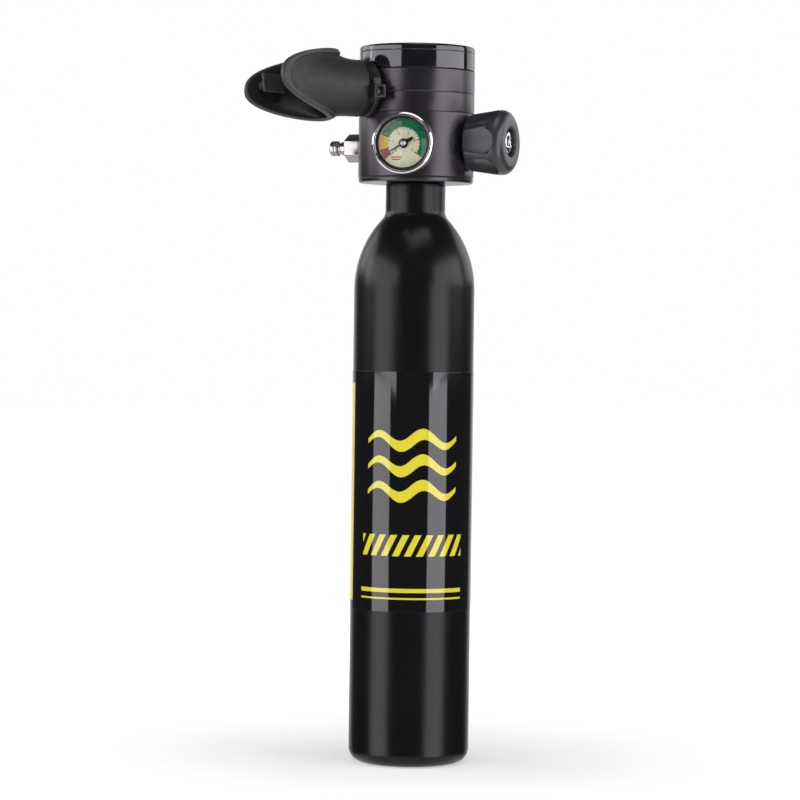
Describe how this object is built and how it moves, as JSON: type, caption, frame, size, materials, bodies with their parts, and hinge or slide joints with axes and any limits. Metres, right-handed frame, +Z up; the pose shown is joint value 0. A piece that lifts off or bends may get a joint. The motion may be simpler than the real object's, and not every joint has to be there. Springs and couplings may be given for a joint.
{
  "type": "mini scuba tank",
  "caption": "Small black aluminium scuba tank under a regulator head with a rubber mouthpiece, dial gauge, shut-off knob, fill nipple, purge button and burst plug.",
  "frame": {"origin": "middle of the tank's flat base, on the tank's axis", "axes": "+Z up the tank's axis; -X out of the mouthpiece; the knob and gauge face -Y"},
  "size_m": [0.1283, 0.0879, 0.356],
  "materials": {
    "satin_black_aluminium": "satin black paint over aluminium",
    "black_label_film": "gloss printed film",
    "grey_anodised_aluminium": "dark grey anodised, fine turned",
    "gloss_black_ring": "polished gloss black",
    "black_plastic": "satin moulded",
    "black_rubber": "matt moulded",
    "seal_rubber": "smooth",
    "silicone": "smooth translucent grey",
    "chrome_plate": "polished",
    "stainless_steel": "turned",
    "spring_steel": "drawn wire",
    "machined_brass": "turned",
    "burst_copper": "thin rolled copper",
    "white_nylon": "turned",
    "cream_dial": "printed",
    "needle_black": "painted",
    "clear_lens": "clear acrylic"
  },
  "bodies": {
    "tank_and_head": {"tank_cylinder": "satin_black_aluminium", "label_wrap": "black_label_film", "neck_o_ring": "seal_rubber", "debris_tube": "stainless_steel", "valve_body": "grey_anodised_aluminium", "high_pressure_seat": "white_nylon", "regulator_housing": "grey_anodised_aluminium", "top_ring": "gloss_black_ring", "demand_barrel": "machined_brass", "lever_pin": "stainless_steel", "seat_orifice": "machined_brass", "exhaust_cover": "black_plastic", "exhaust_valve": "silicone", "mouthpiece": "black_rubber", "cable_tie": "black_plastic", "gland_nut": "machined_brass", "spindle_o_ring": "seal_rubber", "gauge_case": "stainless_steel", "gauge_bezel": "chrome_plate", "gauge_lens": "clear_lens", "gauge_dial": "cream_dial", "gauge_stem": "machined_brass", "pressure_tube": "machined_brass", "fill_nipple": "stainless_steel", "nipple_o_ring": "seal_rubber", "burst_plug": "machined_brass", "burst_disc": "burst_copper"},
    "purge": {"purge_button": "black_plastic", "purge_spring": "spring_steel"},
    "breathing_diaphragm": {"diaphragm": "silicone", "diaphragm_plate": "stainless_steel"},
    "lever": {"demand_lever": "stainless_steel"},
    "poppet": {"demand_poppet": "machined_brass", "poppet_spring": "spring_steel"},
    "piston": {"first_stage_piston": "machined_brass", "piston_o_ring": "seal_rubber", "piston_spring": "spring_steel"},
    "knob": {"valve_knob": "black_plastic", "knob_nut": "chrome_plate", "valve_spindle": "machined_brass"},
    "seat": {"seat_plug": "machined_brass", "seat_insert": "white_nylon"},
    "needle": {"gauge_needle": "needle_black"},
    "check": {"check_poppet": "machined_brass", "check_spring": "spring_steel"}
  },
  "joints": [
    {"name": "knob_turn", "type": "hinge", "parent": "tank_and_head", "child": "knob", "pos_m": [0, 0, 0.3083], "axis": [0.5807, -0.8141, 0], "range_deg": [0, 540]},
    {"name": "seat_lift", "type": "slide", "parent": "tank_and_head", "child": "seat", "axis": [0.5807, -0.8141, 0], "range_m": [0, 0.0019]},
    {"name": "purge_press", "type": "slide", "parent": "tank_and_head", "child": "purge", "axis": [0, 0, -1], "range_m": [0, 0.003], "stiffness_N_per_m": 1200, "springref_m": -0.002},
    {"name": "diaphragm_drop", "type": "slide", "parent": "tank_and_head", "child": "breathing_diaphragm", "axis": [0, 0, -1], "range_m": [0, 0.003], "deforming": ["diaphragm"]},
    {"name": "lever_tilt", "type": "hinge", "parent": "tank_and_head", "child": "lever", "pos_m": [0, -0.0201, 0.3375], "axis": [-1, 0, 0], "range_deg": [0, 10.6]},
    {"name": "poppet_slide", "type": "slide", "parent": "tank_and_head", "child": "poppet", "axis": [0, -1, 0], "range_m": [0, 0.00095], "deforming": ["poppet_spring"]},
    {"name": "piston_slide", "type": "slide", "parent": "tank_and_head", "child": "piston", "axis": [0, 0, -1], "range_m": [0, 0.0003], "stiffness_N_per_m": 5000, "springref_m": -0.001, "deforming": ["piston_spring"]},
    {"name": "needle_sweep", "type": "hinge", "parent": "tank_and_head", "child": "needle", "pos_m": [0, 0, 0.3063], "axis": [0.6691, 0.7431, 0], "range_deg": [0, 250], "stiffness_Nm_per_rad": 0.0002},
    {"name": "check_open", "type": "slide", "parent": "tank_and_head", "child": "check", "axis": [0.5807, -0.8141, 0], "range_m": [0, 0.0015], "stiffness_N_per_m": 800, "springref_m": -0.0015, "deforming": ["check_spring"]}
  ],
  "couplings": [
    {"joint": "seat_lift", "follows": "knob_turn", "m_per_rad": 0.00019894},
    {"joint": "diaphragm_drop", "follows": "purge_press", "ratio": 1},
    {"joint": "lever_tilt", "follows": "purge_press", "rad_per_m": 61},
    {"joint": "poppet_slide", "follows": "purge_press", "ratio": 0.305}
  ]
}
